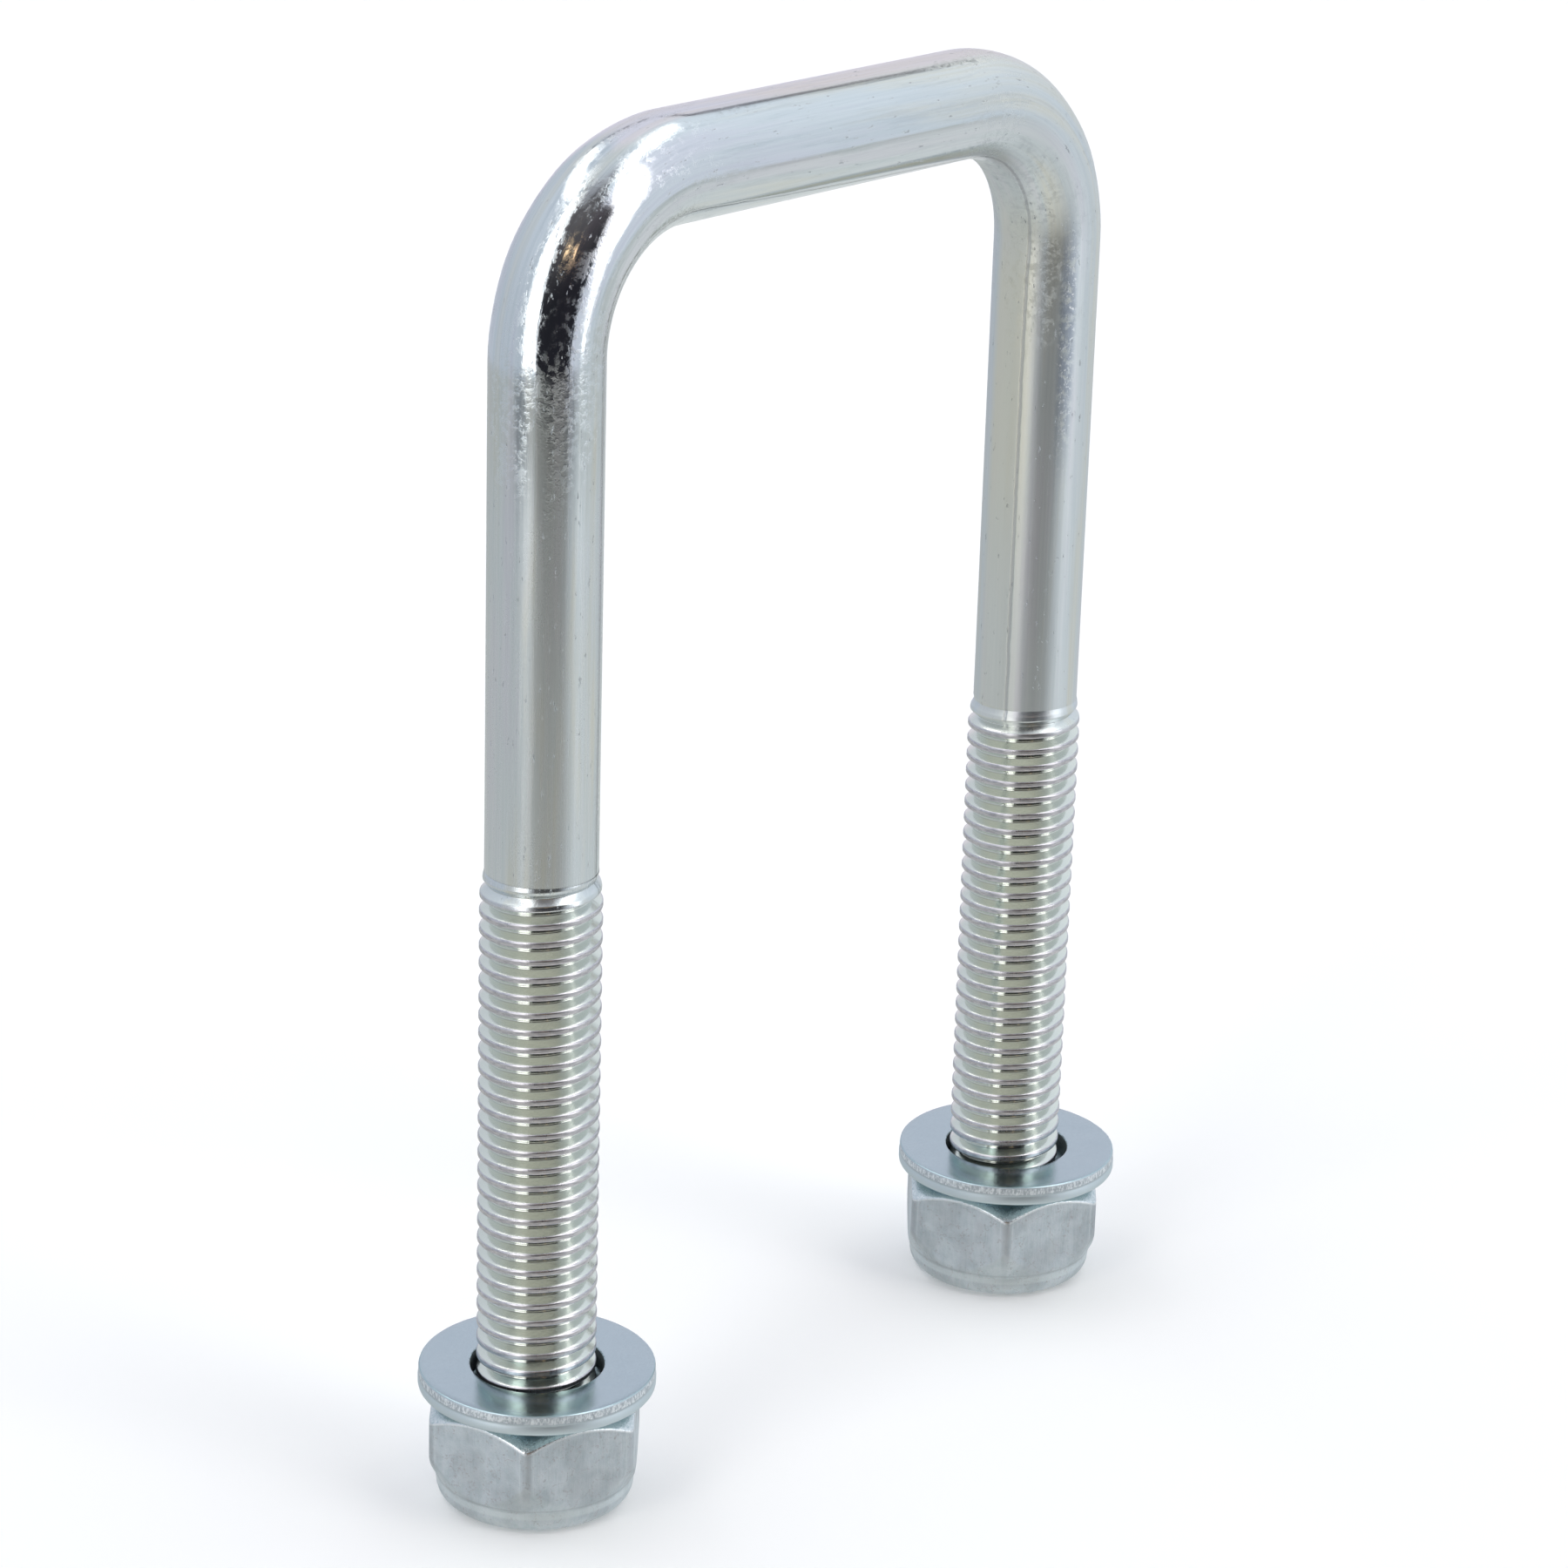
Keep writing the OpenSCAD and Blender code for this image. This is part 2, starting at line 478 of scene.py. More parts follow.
def hexagon_bands(hexagon, height):
    """Radii and heights of the rings between the collar and the bearing face, from below."""
    lower_slope, upper_slope = nut_slopes(max(hexagon))
    low_edge = [COLLAR_H + lower_slope * (h - COLLAR_R) for h in hexagon]
    high_edge = [height - upper_slope * (h - BEARING_R) for h in hexagon]
    soft = EDGE_SOFT
    cone = [h - 0.4 * soft for h in hexagon]
    between = [h - 0.15 * soft for h in hexagon]
    bevel = [h - soft for h in hexagon]
    return [
        (cone, [z - 0.4 * soft * lower_slope for z in low_edge]),
        (hexagon, [z + soft for z in low_edge]),
        (hexagon, [z + EDGE_STRIP_W for z in low_edge]),
        (hexagon, [z - EDGE_STRIP_W for z in high_edge]),
        (hexagon, [z - soft for z in high_edge]),
        (between, high_edge),
        (bevel, [z + soft * upper_slope for z in high_edge]),
    ]


def nut_outside(bm, axis, height, turn):
    """Rings of the nut's outside, from the lip's opening up to the mouth of the thread."""
    angles = nut_angles(turn)
    hexagon = [hexagon_radius(a - turn) for a in angles]

    def place(radii, heights):
        return ring(
            bm,
            [
                (axis.x + r * math.cos(a), axis.y + r * math.sin(a), z)
                for a, r, z in zip(angles, radii, heights)
            ],
        )

    def level(r, z):
        return place([r] * len(angles), [z] * len(angles))

    rounding_r = COLLAR_R - COLLAR_TAPER - COLLAR_ROUND
    rounded = arc(rounding_r, COLLAR_ROUND, COLLAR_ROUND, -90, 0, 8)
    rings = [level(LIP_R, LIP_H), level(LIP_R, LIP_BEVEL), level(LIP_R + LIP_BEVEL, 0)]
    rings += [level(r, z) for r, z in rounded]
    rings += [level(COLLAR_R - SHOULDER_DROP, COLLAR_H - SHOULDER_H), level(SHOULDER_R, COLLAR_H)]
    rings += [place(radii, heights) for radii, heights in hexagon_bands(hexagon, height)]
    rings += [level(BEARING_R, height), level(NUT_ROOT_R + MOUTH_BEVEL, height)]
    join_rings(bm, rings)
    return rings


def store_nut_sheen(piece, axis, height, turn):
    """Writes how strongly each vertex takes the painted highlight along the curved edges: 1 on the
    bevel's edge, and above 0 near a corner.

    The lower edges and the corners are in an attribute of their own; the corners take a painted
    reflection."""
    lower_slope, upper_slope = nut_slopes(hexagon_radius(0))
    edge_sheen, corners = [], []
    for v in piece.data.vertices:
        out = v.co - axis
        angle = math.atan2(out.y, out.x) - turn
        radius = hexagon_radius(angle)
        outside = math.hypot(out.x, out.y) > BEARING_R + 0.3 * MM
        above = abs(v.co.z - height + upper_slope * (radius - BEARING_R))
        below = abs(v.co.z - COLLAR_H - lower_slope * (radius - COLLAR_R))
        edge_sheen.append(outside * max(0.0, 1 - above / EDGE_STRIP_W, 0.6 - below / EDGE_STRIP_W))
        degrees = math.degrees(abs(from_corner(angle)))
        on_side = CORNER_Z - CORNER_SHEEN_BELOW < v.co.z < height - CORNER_SHEEN_TOP
        corners.append(outside * on_side * (1 - smooth(degrees, 1.0, 4.0)))
    store(piece, "edge_sheen", edge_sheen)
    store(piece, "corner", corners)


def make_nut(side, material):
    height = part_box(f"{side}_nut")[1].z
    axis = leg_axis(side)
    tip_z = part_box("u_bar")[0].z
    turn = NUT_TURN[side]
    angles = nut_angles(turn)
    bm = bmesh.new()
    rings = nut_outside(bm, axis, height, turn)
    profile = ridge_profile(NUT_ROOT_R, NUT_CREST_R, NUT_ROOT_HALF, NUT_CREST_HALF)
    thread_top = height - MOUTH_BEVEL

    def shape(angle, z, r):
        from_end = min(z - GROOVE_TOP, thread_top - z)
        return max(r, NUT_ROOT_R - THREAD_FADE * from_end)

    shift = (GROOVE_TOP - tip_z - CREST_SHIFT[side]) % PITCH
    bottom, top = helical_rows(
        bm, axis, shifted(profile, shift), GROOVE_TOP, thread_top, angles, shape
    )
    bridge(bm, top, rings[-1])
    groove = turned_rings(bm, axis, [(GROOVE_R, GROOVE_TOP), (GROOVE_R, LIP_H)], angles)
    join_rings(bm, [bottom, *groove, rings[0]])
    piece = make_piece(f"lock_nut_{side}", bm, material, f"{side}_nut", f"{side}_nut")
    store_nut_sheen(piece, axis, height, turn)


def make_locking_ring(side, material):
    low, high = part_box(f"{side}_nylon_ring")
    axis = leg_axis(side)
    inner, outer, soft = NYLON_R, (high.x - low.x) / 2, NYLON_SOFT
    outline = (
        arc(inner + soft, low.z + soft, soft, 180, 270, 4)
        + arc(outer - soft, low.z + soft, soft, 270, 360, 4)
        + arc(outer - soft, high.z - soft, soft, 0, 90, 4)
        + arc(inner + soft, high.z - soft, soft, 90, 180, 4)
    )
    bm = bmesh.new()
    join_rings(bm, turned_rings(bm, axis, outline, even_angles(COLUMNS)), closed=True)
    name = f"locking_ring_{side}"
    make_piece(name, bm, material, f"{side}_ring", f"{side}_nylon_ring")


# ---------------------------------------------------------------- shader helpers


class Graph:
    """Adds nodes to one node tree, with plain values or sockets as their inputs."""

    def __init__(self, tree):
        self.tree = tree
        tree.nodes.clear()

    def node(self, kind, **settings):
        made = self.tree.nodes.new("ShaderNode" + kind)
        for key, value in settings.items():
            setattr(made, key, value)
        return made

    def feed(self, socket, value):
        if isinstance(value, bpy.types.NodeSocket):
            self.tree.links.new(value, socket)
        elif value is not None:
            socket.default_value = value

    def math(self, operation, a, b=None):
        made = self.node("Math", operation=operation)
        self.feed(made.inputs[0], a)
        self.feed(made.inputs[1], b)
        return made.outputs[0]

    def times(self, a, b):
        return self.math("MULTIPLY", a, b)

    def plus(self, a, b):
        return self.math("ADD", a, b)

    def minus(self, a, b):
        return self.math("SUBTRACT", a, b)

    def size(self, value):
        return self.math("ABSOLUTE", value)

    def split(self, vector):
        """The three parts of a vector."""
        made = self.node("SeparateXYZ")
        self.feed(made.inputs[0], vector)
        return made.outputs

    def place(self):
        """Place on the piece, in millimetres."""
        return self.stretch(self.node("TexCoord").outputs["Object"], (1 / MM, 1 / MM, 1 / MM))

    def attribute(self, name, output="Fac"):
        return self.node("Attribute", attribute_name=name).outputs[output]

    def step(self, value, low, high, out_low=0.0, out_high=1.0):
        """An S-curve from out_low to out_high as value goes from low to high."""
        made = self.node("MapRange", interpolation_type="SMOOTHSTEP")
        for name, socket_value in (
            ("Value", value), ("From Min", low), ("From Max", high),
            ("To Min", out_low), ("To Max", out_high),
        ):
            self.feed(made.inputs[name], socket_value)
        return made.outputs[0]

    def band(self, value, low, high, soft):
        """1 between low and high, with soft edges."""
        above = self.step(self.minus(value, low), -soft, soft)
        below = self.step(self.minus(value, high), -soft, soft)
        return self.times(above, self.minus(1.0, below))

    def mix(self, factor, a, b, blend="MIX"):
        made = self.node("Mix", data_type="RGBA", blend_type=blend)
        self.feed(made.inputs[0], factor)
        self.feed(made.inputs[6], colour(a))
        self.feed(made.inputs[7], colour(b))
        return made.outputs[2]

    def stretch(self, vector, scale):
        made = self.node("Mapping")
        self.feed(made.inputs["Vector"], vector)
        made.inputs["Scale"].default_value = scale
        return made.outputs[0]

    def noise(self, vector, scale=1.0, detail=2.0, rough=0.5):
        made = self.node("TexNoise")
        self.feed(made.inputs["Vector"], vector)
        made.inputs["Scale"].default_value = scale
        made.inputs["Detail"].default_value = detail
        made.inputs["Roughness"].default_value = rough
        return made.outputs[0]

    def bump(self, height, depth, normal=None):
        """Bump whose height of 0 to 1 stands for depth in metres."""
        made = self.node("Bump")
        made.inputs["Distance"].default_value = depth
        self.feed(made.inputs["Height"], height)
        self.feed(made.inputs["Normal"], normal)
        return made.outputs[0]


def colour(value):
    return (*value, 1.0) if isinstance(value, tuple) and len(value) == 3 else value


def start_material(name):
    material = bpy.data.materials.new(name)
    material.use_nodes = True
    graph = Graph(material.node_tree)
    shader = graph.node("BsdfPrincipled")
    output = graph.node("OutputMaterial")
    graph.tree.links.new(shader.outputs[0], output.inputs["Surface"])
    return material, graph, shader


# ---------------------------------------------------------------- materials


def rod_places(g):
    """Coordinates on the straightened rod, and where its bends, thread and plain part are.

    Angles round it are in degrees from the inside of the bends, and grow towards the front."""
    rod = g.attribute("rod", "Vector")
    across, sideways, along = g.split(rod)
    radius = g.math("SQRT", g.plus(g.times(across, across), g.times(sideways, sideways)))
    angle = g.math("ARCTAN2", g.times(sideways, -1.0), g.times(across, -1.0))
    length = g.size(along)
    threaded = g.step(length, THREAD_FROM + 0.3, THREAD_FROM + 3.0)
    crest = g.times(threaded, g.step(radius, 4.80, 4.88))
    root = g.times(threaded, g.step(radius, 4.27, 4.2))
    return SimpleNamespace(
        rod=rod,
        along=along,
        length=length,
        angle=g.times(angle, math.degrees(1)),
        bend=g.band(length, 13, 47, 5),
        plain=g.minus(1.0, threaded),
        crest=crest,
        root=root,
        flank=g.minus(threaded, g.plus(crest, root)),
    )


def rod_marks(g, at):
    """Marks on the rod: draw lines, frost, flecks, the die line, the straw tint and scuffs."""
    patches = g.noise(g.stretch(at.rod, (0.4, 0.4, 0.09)), detail=4, rough=0.6)
    frost = g.step(g.plus(patches, g.times(at.bend, 0.1)), 0.48, 0.62)
    flecks = g.step(g.noise(g.stretch(at.rod, (2.6, 2.6, 0.8)), detail=4, rough=0.7), 0.645, 0.70)
    waver = g.noise(g.stretch(at.rod, (0.0, 0.0, 0.35)), detail=4, rough=0.6)
    line_at = g.plus(g.step(at.along, -50, 50, 62, 15), g.times(waver, 4.0))
    from_line = g.minus(at.angle, line_at)
    straw = g.times(g.band(from_line, -40, 11, 8), g.step(at.along, 28, 42))
    scuffed = g.times(g.band(at.angle, 56, 74, 5), g.band(at.along, 37, 55, 6))
    scuffs = g.step(g.noise(at.rod, scale=0.9, detail=4, rough=0.7), 0.36, 0.52)
    return SimpleNamespace(
        lines=g.noise(g.stretch(at.rod, (4.0, 4.0, 0.08)), detail=4, rough=0.6),
        frost=g.times(frost, g.plus(g.times(at.bend, 0.92), 0.08)),
        spots=g.step(g.noise(at.rod, scale=1.7, detail=4, rough=0.65), 0.47, 0.60),
        flecks=g.times(flecks, at.plain),
        die_line=g.times(g.step(g.size(from_line), 2.6, 0.8), at.plain),
        straw=g.times(straw, g.step(at.along, 52, 74, 1.0, 0.45)),
        scuffed=g.times(scuffed, scuffs),
    )


def rod_colour(g, at, marks):
    """Lavender, blue-grey and straw, as clear passivated zinc is, with the marks over them, and
    painted shade darkening the thread's flanks on the rod's front.
    """
    tint = g.noise(g.stretch(at.rod, (0.32, 0.32, 0.02)), detail=3, rough=0.6)
    streaks = g.noise(g.stretch(at.rod, (1.3, 1.3, 0.10)), detail=5, rough=0.75)
    streaks = g.times(g.step(streaks, 0.50, 0.66), g.step(at.length, 46, 30))
    sparkle = g.step(g.noise(at.rod, scale=2.6, detail=3, rough=0.7), 0.56, 0.66)
    folds = g.noise(g.stretch(at.rod, (1.3, 1.3, 9.0)), detail=3, rough=0.6)
    # front of the rod, where the thread's flanks carry a painted shade
    front = g.band(at.angle, 62, 112, 14)

    base = g.mix(g.step(tint, 0.34, 0.50), (0.67, 0.68, 0.74), (0.655, 0.705, 0.735))
    base = g.mix(g.step(tint, 0.50, 0.66), base, (0.71, 0.71, 0.655))
    base = g.mix(g.step(marks.lines, 0.35, 0.65), base, g.mix(0.35, base, (0.78, 0.81, 0.83)))
    base = g.mix(g.times(streaks, 0.30), base, (0.50, 0.54, 0.58))
    base = g.mix(g.times(marks.straw, 0.8), base, (0.755, 0.735, 0.62))
    base = g.mix(g.times(marks.scuffed, 0.85), base, (0.38, 0.43, 0.52))
    base = g.mix(g.times(marks.scuffed, sparkle), base, (0.93, 0.95, 0.98))
    base = g.mix(g.times(marks.die_line, 0.45), base, (0.33, 0.34, 0.37))
    # painted shade: the flanks are darker on the front of the rod than round its sides
    base = g.mix(at.flank, base, g.mix(front, (0.785, 0.81, 0.755), (0.70, 0.73, 0.695)))
    base = g.mix(at.root, base, (0.74, 0.76, 0.72))
    folded = g.mix(g.step(folds, 0.35, 0.62), (0.46, 0.45, 0.49), (0.66, 0.64, 0.67))
    base = g.mix(at.crest, base, folded)
    return g.mix(g.times(marks.flecks, 0.55), base, (0.24, 0.26, 0.29))


def rod_roughness(g, at, marks):
    """Brightest on the left bend, softer where frosted, on the straight rod and to the right."""
    frosted = g.times(marks.frost, g.plus(g.times(marks.spots, 0.20), 0.01))
    rough = g.plus(g.times(marks.lines, 0.06), frosted)
    rough = g.plus(rough, g.plus(g.times(at.flank, 0.10), g.times(at.crest, 0.20)))
    straight = g.times(g.step(at.length, 40, 52), 0.19)
    right_side = g.times(g.step(at.along, 14, 26), 0.29)
    softness = g.times(at.plain, g.math("MAXIMUM", straight, right_side))
    return g.plus(g.plus(rough, softness), 0.05)


def rod_normal(g, at, marks):
    """Bumps of the draw lines and the frost's grain, with the flecks and the die line sunk in."""
    grain = g.noise(at.rod, scale=5.0, detail=3, rough=0.75)
    strength = g.times(marks.frost, g.plus(g.times(marks.spots, 0.35), 0.10))
    strength = g.plus(strength, g.plus(g.times(marks.scuffed, 0.6), 0.06))
    raised = g.minus(1.0, g.math("MAXIMUM", marks.flecks, marks.die_line))
    normal = g.bump(marks.lines, 0.006 * MM)
    normal = g.bump(g.times(grain, strength), 0.022 * MM, normal)
    return g.bump(raised, 0.025 * MM, normal)


def bright_zinc():
    """Bright zinc on drawn rod and on the threads rolled on it."""
    material, g, shader = start_material("bright_zinc")
    at = rod_places(g)
    marks = rod_marks(g, at)
    g.feed(shader.inputs["Base Color"], rod_colour(g, at, marks))
    g.feed(shader.inputs["Roughness"], rod_roughness(g, at, marks))
    g.feed(shader.inputs["Normal"], rod_normal(g, at, marks))
    shader.inputs["Metallic"].default_value = 1.0
    return material


def satin_zinc():
    """Satin zinc on stamped sheet, with torn metal round the rim and painted shade darkening the
    hole's wall.
    """
    material, g, shader = start_material("satin_zinc")
    place = g.place()
    height = g.split(place)[2]
    wall = g.step(g.size(g.split(g.node("NewGeometry").outputs["Normal"])[2]), 0.8, 0.3)
    hole = g.attribute("hole")

    haze = g.noise(place, scale=0.35, detail=4, rough=0.6)
    grain = g.noise(place, scale=7, detail=3, rough=0.65)
    upper = g.band(height, 11.0, 11.72, 0.12)
    torn = g.times(g.noise(g.stretch(place, (4.2, 4.2, 2.0)), detail=5, rough=0.75), upper)
    base = g.mix(haze, (0.44, 0.565, 0.605), (0.50, 0.62, 0.655))
    base = g.mix(g.step(grain, 0.3, 0.7), g.mix(0.1, base, (0.2, 0.24, 0.26)), base)
    ragged = g.mix(g.step(torn, 0.40, 0.60), (0.50, 0.55, 0.60), (0.88, 0.92, 0.96))
    rim = g.mix(upper, (0.65, 0.73, 0.78), ragged)
    base = g.mix(wall, base, rim)
    # painted shade: the hole's wall darkened nearly to black
    base = g.mix(g.times(hole, 0.85), base, (0.12, 0.15, 0.15))
    g.feed(shader.inputs["Base Color"], base)
    shader.inputs["Metallic"].default_value = 1.0
    rough = g.plus(g.times(haze, 0.10), g.plus(g.times(wall, 0.34), 0.13))
    g.feed(shader.inputs["Roughness"], rough)
    normal = g.bump(grain, 0.006 * MM)
    normal = g.bump(g.times(torn, wall), 0.09 * MM, normal)
    g.feed(shader.inputs["Normal"], normal)
    return material


def dull_zinc():
    """Dull zinc on a forged nut: mottled, with fine upright marks and rusty specks and lines,
    painted shade on the faces that look up and in the crease above the collar, painted highlights
    round the collar's top, along the curved edges and beside the corners, and painted dark
    reflections on the corners.
    """
    material, g, shader = start_material("dull_zinc")
    place = g.place()
    height = g.split(place)[2]
    # faces that look up: smoother, and darkened below with a painted shade
    bevel = g.step(g.split(g.node("NewGeometry").outputs["Normal"])[2], 0.35, 0.55)
    edge_sheen = g.attribute("edge_sheen")
    corner = g.attribute("corner")

    mottle = g.noise(place, scale=0.7, detail=6, rough=0.7)
    upright = g.noise(g.stretch(place, (3.5, 3.5, 0.35)), detail=4, rough=0.65)
    grain = g.noise(place, scale=5, detail=3, rough=0.7)
    specks = g.step(g.noise(place, scale=1.8, detail=4, rough=0.6), 0.62, 0.70)
    veins = g.size(g.minus(g.noise(place, scale=0.45, detail=4), 0.5))
    veins = g.times(g.step(veins, 0.018, 0.004), g.step(grain, 0.45, 0.6))

    base = g.mix(g.step(mottle, 0.3, 0.7), (0.54, 0.61, 0.655), (0.68, 0.73, 0.765))
    base = g.mix(g.times(g.step(upright, 0.35, 0.65), 0.35), base, (0.72, 0.74, 0.80))
    cloud = g.step(g.noise(place, scale=0.28, detail=2), 0.35, 0.65)
    base = g.mix(1.0, base, g.step(cloud, 0.0, 1.0, 0.92, 1.05), "MULTIPLY")
    base = g.mix(g.times(specks, 0.4), base, (0.40, 0.39, 0.41))
    base = g.mix(g.times(veins, 0.45), base, (0.43, 0.40, 0.42))
    # painted reflection: each corner darkened, with painted highlights beside it that grow lighter
    # towards the top
    base = g.mix(g.times(g.step(corner, 0.3, 0.9), 0.30), base, (0.40, 0.41, 0.44))
    sides = g.times(g.band(corner, 0.12, 0.3, 0.1), g.step(height, 3.8, 5.2, 0.0, 0.35))
    base = g.mix(sides, base, (0.80, 0.84, 0.87))
    # painted highlight: a light band round the top of the collar
    base = g.mix(g.times(g.band(height, 1.45, 2.1, 0.12), 0.45), base, (0.80, 0.86, 0.88))
    # painted shade: a darker band in the crease just above the collar
    base = g.mix(g.times(g.band(height, 2.2, 2.4, 0.08), 0.35), base, (0.44, 0.47, 0.50))
    # painted shade: the top bevel and bearing face, under the washer, darkened to teal
    base = g.mix(bevel, base, (0.42, 0.52, 0.56))
    # painted highlight: a light, patchy strip along the curved edges of the bevels
    edge = g.times(g.step(edge_sheen, 0.25, 0.7), g.step(grain, 0.25, 0.55))
    base = g.mix(g.times(edge, 0.75), base, (0.84, 0.86, 0.88))
    g.feed(shader.inputs["Base Color"], base)
    shader.inputs["Metallic"].default_value = 1.0
    rough = g.plus(g.times(mottle, 0.2), g.step(bevel, 0.0, 1.0, 0.52, 0.2))
    g.feed(shader.inputs["Roughness"], g.minus(rough, g.times(edge, 0.12)))
    normal = g.bump(g.times(mottle, g.step(bevel, 0.0, 1.0, 1.0, 0.15)), 0.07 * MM)
    normal = g.bump(upright, 0.03 * MM, normal)
    normal = g.bump(grain, 0.015 * MM, normal)
    g.feed(shader.inputs["Normal"], normal)
    return material


def nylon():
    """White nylon, slightly see-through, as it is moulded."""
    material, g, shader = start_material("nylon")
    place = g.place()
    cloud = g.noise(place, scale=0.6, detail=3)
    g.feed(shader.inputs["Base Color"], g.mix(cloud, (0.80, 0.81, 0.76), (0.88, 0.89, 0.86)))
    g.feed(shader.inputs["Roughness"], g.plus(g.times(cloud, 0.15), 0.35))
    shader.inputs["Subsurface Weight"].default_value = 0.25
    shader.inputs["Subsurface Radius"].default_value = (0.001, 0.001, 0.001)
    shader.inputs["Subsurface Scale"].default_value = 0.5
    g.feed(shader.inputs["Normal"], g.bump(g.noise(place, scale=5, detail=2), 0.01 * MM))
    return material


# ---------------------------------------------------------------- studio


def studio_light():
    """A white tent round the part: two tall lit panels beside a dark opening for the camera.

    Angles are in degrees. An azimuth of 0 is the camera's side, and it grows towards the
    camera's right."""
    world = bpy.data.worlds.new("studio")
    bpy.context.scene.world = world
    world.use_nodes = True
    g = Graph(world.node_tree)
    azimuth, elevation = tent_angles(g)
    light = tent_walls(g, azimuth, elevation)
    light = tent_panels(g, azimuth, elevation, light)
    light = tent_opening(g, azimuth, elevation, light)
    shown = g.mix(g.node("LightPath").outputs["Is Camera Ray"], light, BACKDROP)
    background = g.node("Background")
    g.feed(background.inputs["Color"], shown)
    output = g.node("OutputWorld")
    g.tree.links.new(background.outputs[0], output.inputs["Surface"])


def tent_angles(g):
    """Azimuth and elevation of a direction, in degrees, as sockets."""
    turned = g.node("VectorRotate", rotation_type="Z_AXIS")
    g.feed(turned.inputs["Vector"], g.node("TexCoord").outputs["Generated"])
    turned.inputs["Angle"].default_value = math.pi / 2 - VIEW_AZIMUTH
    towards, right, up = g.split(turned.outputs[0])
    azimuth = g.times(g.math("ARCTAN2", right, towards), math.degrees(1))
    elevation = g.times(g.math("ARCSINE", up), math.degrees(1))
    return azimuth, elevation


def tent_walls(g, azimuth, elevation):
    """The unlit cloth: walls, ceiling and the table below, with one dark seam behind."""
    off_axis = g.size(azimuth)
    to_right = g.step(azimuth, -60, 60)
    walls = g.mix(to_right, (0.63, 0.68, 0.75), (0.80, 0.86, 0.92))
    walls = g.mix(g.step(off_axis, 155, 170), walls, (0.80, 0.77, 0.86))
    rise = g.plus(g.times(g.step(elevation, 0, 50), 0.16), 0.96)
    walls = g.mix(1.0, walls, rise, "MULTIPLY")
    walls = g.mix(g.step(elevation, 66, 82), walls, (0.73, 0.78, 0.82))
    seam = g.times(g.band(off_axis, 150, 178, 2), g.band(elevation, 36.2, 38.8, 0.7))
    walls = g.mix(seam, walls, (0.12, 0.12, 0.14))

    front = g.step(g.size(g.minus(azimuth, 8.0)), 62, 26)
    table = g.mix(to_right, (0.64, 0.66, 0.64), (0.77, 0.80, 0.79))
    near = g.mix(g.step(elevation, -27, -35), (0.56, 0.555, 0.515), (0.86, 0.88, 0.84))
    table = g.mix(front, table, near)
    table = g.mix(1.0, table, g.step(elevation, -23, -14, 1.0, 0.78), "MULTIPLY")
    shade = g.times(g.band(off_axis, 38, 62, 8), g.step(elevation, -20, -17))
    table = g.mix(g.times(shade, 0.7), table, (0.10, 0.11, 0.12))
    return g.mix(g.step(elevation, -13.0, -15.5), walls, table)


def left_panel_edge(g, elevation):
    """Azimuth at which the left panel ends and the opening starts."""
    return g.plus(g.times(elevation, -0.14), -20.5)


def tent_panels(g, azimuth, elevation, light):
    """The hoop of the tent's top, the grey cloth above the opening, and the two lit panels."""
    off_axis = g.size(azimuth)
    drop = g.times(g.minus(off_axis, 80.0), g.step(azimuth, -5, 5, 0.30, 0.15))
    from_hoop = g.plus(g.minus(elevation, 69.0), drop)
    hoop = g.times(g.band(from_hoop, -8, 8, 2), g.band(off_axis, 66, 152, 5))
    light = g.mix(hoop, light, HOOP_LIGHT)

    rise = g.band(elevation, PANEL_LOW, PANEL_HIGH, 0.5)
    below = g.math("MAXIMUM", g.minus(25.0, elevation), 0.0)
    right_in = g.plus(g.times(below, 0.6), 48.0)
    right = g.times(g.band(azimuth, right_in, 77, 2), rise)
    left_in = left_panel_edge(g, elevation)
    left_out = g.plus(g.times(elevation, -0.22), -46.0)
    left = g.times(g.band(azimuth, left_out, left_in, 2), rise)
    above = g.times(g.band(azimuth, -44, 62, 8), g.step(elevation, 62, 67))
    above_light = g.mix(g.step(elevation, 67, 84), (0.36, 0.36, 0.39), (0.70, 0.74, 0.79))
    light = g.mix(above, light, above_light)
    return g.mix(g.math("MAXIMUM", left, right), light, PANEL_LIGHT)


def tent_opening(g, azimuth, elevation, light):
    """The dark opening for the camera, narrower at its foot, with two warm lamps in it."""
    taper = g.step(elevation, -14.8, -16.3)
    opening_end = g.math(
        "MINIMUM", g.step(elevation, -10, 15, 46, 54), g.step(elevation, 30, 52, 54, 37)
    )
    opening_end = g.minus(opening_end, g.times(taper, 30.0))
    opening_from = g.plus(left_panel_edge(g, elevation), g.times(taper, 24.0))
    height = g.band(elevation, OPENING_LOW, OPENING_HIGH, 0.4)
    opening = g.times(g.band(azimuth, opening_from, opening_end, 2), height)
    dark = g.mix(g.step(elevation, 10, 60), (0.02, 0.02, 0.025), (0.13, 0.12, 0.125))
    light = g.mix(opening, light, dark)
    for lamp_azimuth, lamp_elevation in LAMPS:
        across = g.times(g.minus(azimuth, lamp_azimuth), 0.2)
        upward = g.times(g.minus(elevation, lamp_elevation), 0.17)
        away = g.plus(g.times(across, across), g.times(upward, upward))
        light = g.mix(g.step(away, 1.0, 0.1), light, LAMP_LIGHT)
    return light


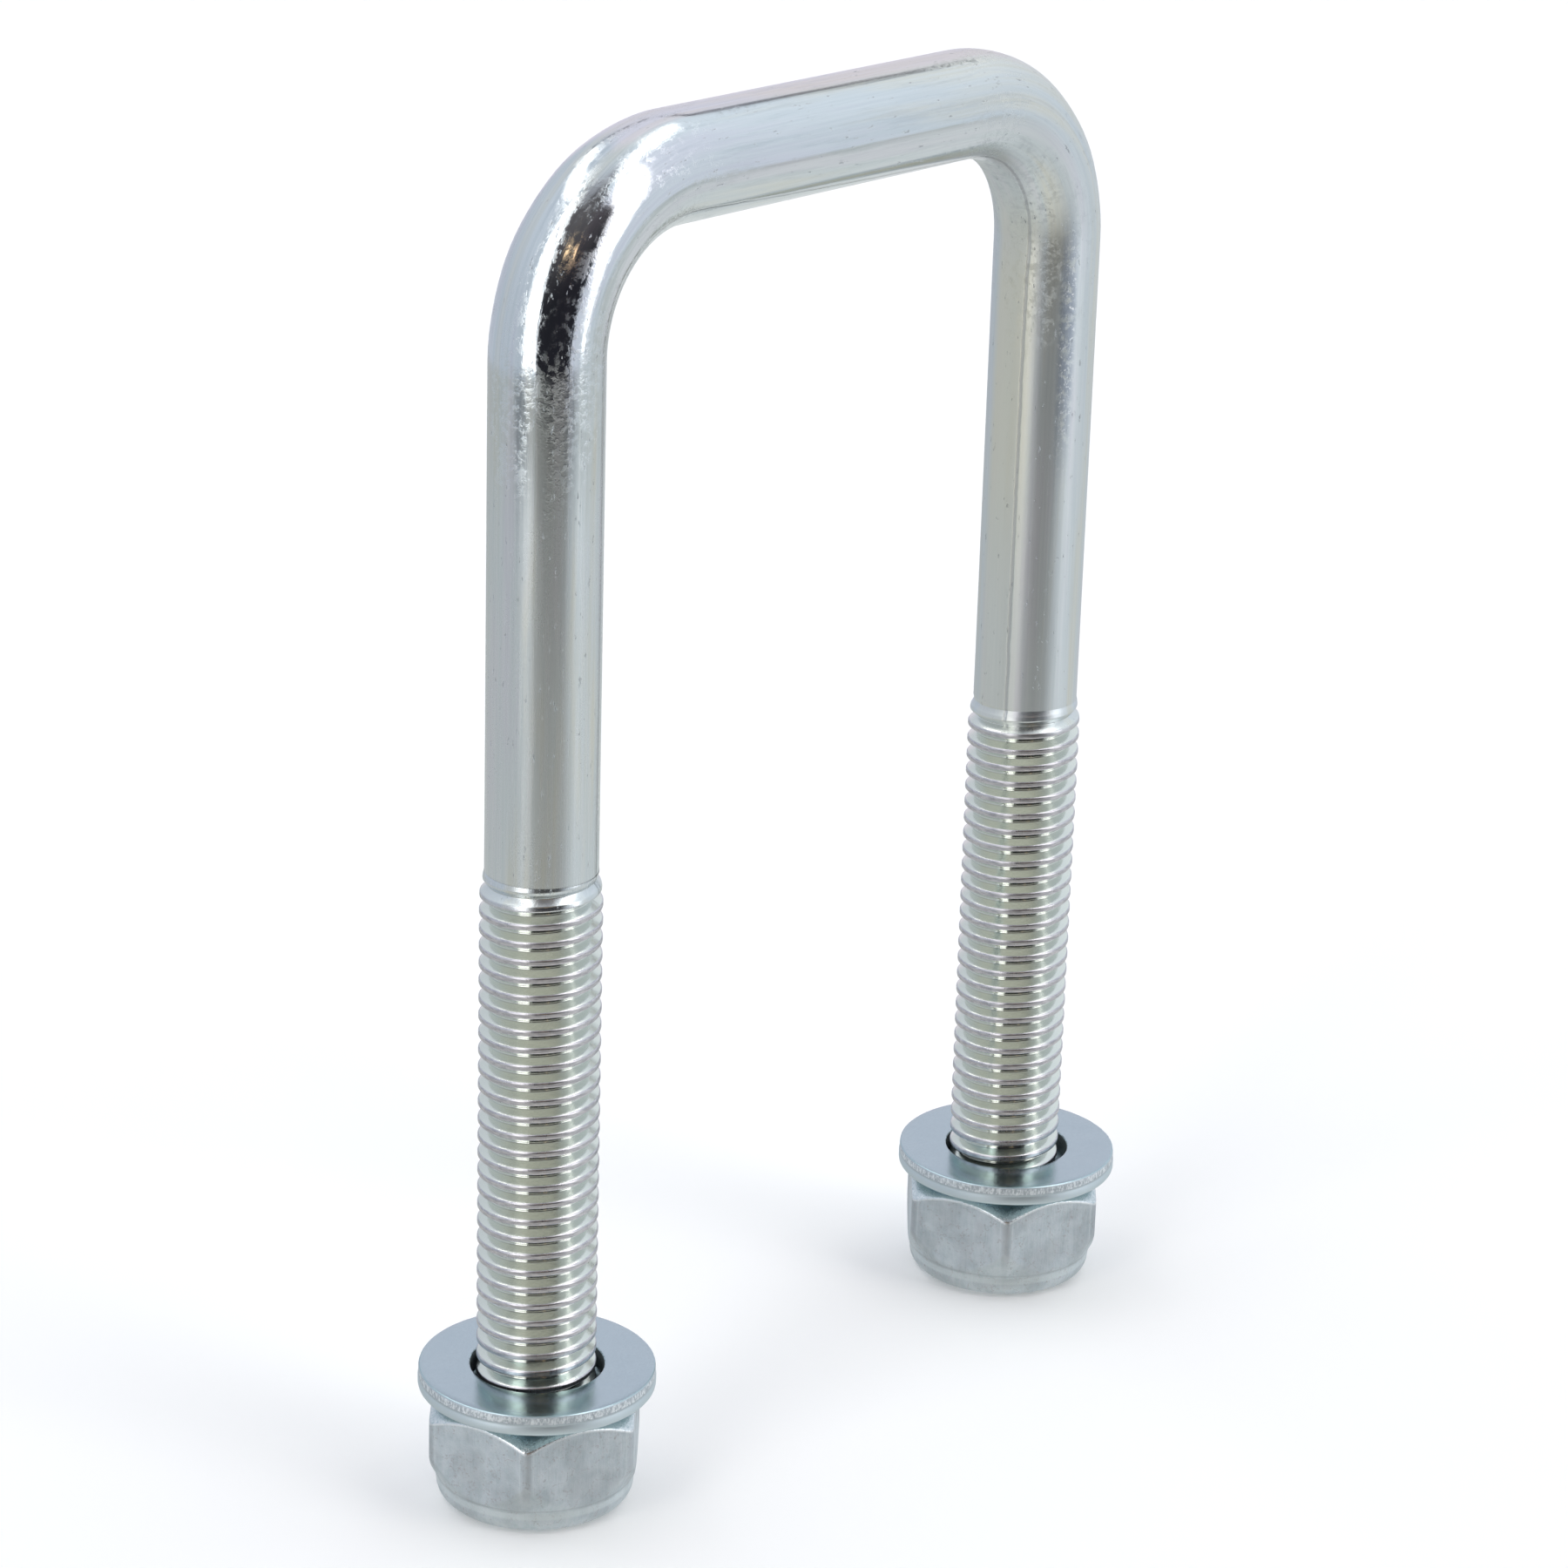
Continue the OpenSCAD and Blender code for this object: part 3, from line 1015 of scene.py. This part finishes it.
def pale_floor():
    """A matt near-white with a faint glow."""
    material, g, shader = start_material("floor")
    cloud = g.noise(g.node("TexCoord").outputs["Object"], scale=3, detail=2)
    g.feed(shader.inputs["Base Color"], g.mix(cloud, (0.94, 0.94, 0.935), (0.96, 0.955, 0.95)))
    shader.inputs["Roughness"].default_value = 0.9
    shader.inputs["Emission Color"].default_value = (1.0, 1.0, 1.0, 1.0)
    shader.inputs["Emission Strength"].default_value = 0.07
    shader.inputs["Specular IOR Level"].default_value = 0.1
    return material


def make_floor(material):
    """A plain floor, large enough to fill the view."""
    bm = bmesh.new()
    bmesh.ops.create_grid(bm, x_segments=4, y_segments=4, size=FLOOR_SIZE)
    mesh = bpy.data.meshes.new("floor")
    bm.to_mesh(mesh)
    bm.free()
    mesh.materials.append(material)
    floor = bpy.data.objects.new("floor", mesh)
    floor.location.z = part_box("left_nut")[0].z - FLOOR_GAP
    bpy.context.scene.collection.objects.link(floor)
    floor.visible_glossy = False


def make_camera():
    a, e, roll = VIEW_AZIMUTH, VIEW_ELEVATION, VIEW_ROLL
    back = Vector((math.sin(a) * math.cos(e), -math.cos(a) * math.cos(e), math.sin(e)))
    right = Vector((math.cos(a), math.sin(a), 0))
    up = back.cross(right)
    across = right * math.cos(roll) + up * math.sin(roll)
    upright = up * math.cos(roll) - right * math.sin(roll)
    data = bpy.data.cameras.new("camera")
    data.lens, data.sensor_width = LENS, SENSOR
    data.clip_start, data.clip_end = 0.01, 20
    camera = bpy.data.objects.new("camera", data)
    camera.matrix_world = Matrix.Translation(VIEW_TARGET + back * VIEW_DISTANCE) @ Matrix(
        (across, upright, back)
    ).transposed().to_4x4()
    bpy.context.scene.collection.objects.link(camera)
    bpy.context.scene.camera = camera


# ---------------------------------------------------------------- scene

make_camera()
make_bar(bright_zinc())
zinc_satin, zinc_dull, white_nylon = satin_zinc(), dull_zinc(), nylon()
for side_name in SIDES:
    make_washer(side_name, zinc_satin)
    make_nut(side_name, zinc_dull)
    make_locking_ring(side_name, white_nylon)
make_floor(pale_floor())
studio_light()
bpy.context.scene.view_settings.view_transform = "Standard"
